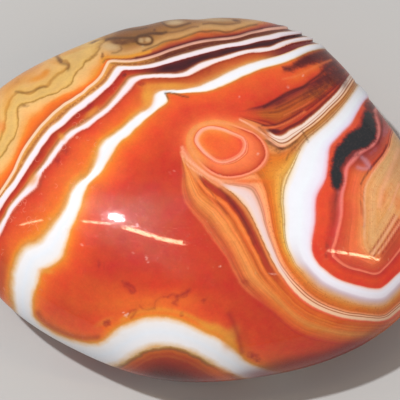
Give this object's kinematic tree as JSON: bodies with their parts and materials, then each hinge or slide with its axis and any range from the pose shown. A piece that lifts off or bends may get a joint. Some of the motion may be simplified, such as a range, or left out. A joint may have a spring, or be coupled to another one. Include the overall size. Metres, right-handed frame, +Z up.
{
  "type": "polished agate palm stone",
  "caption": "Smooth oval palm stone of polished banded agate, domed above, with a small flat to rest on below.",
  "frame": {"origin": "middle of the stone's outline, at the level of the flat it rests on", "axes": "+X along the stone, +Z up through the domed side; -Y faces the pictured side's lower edge"},
  "size_m": [0.0614, 0.0483, 0.0245],
  "materials": {
    "polished_agate": "high polish, banded red, orange and white"
  },
  "bodies": {
    "root": {"agate_stone": "polished_agate"}
  },
  "joints": []
}
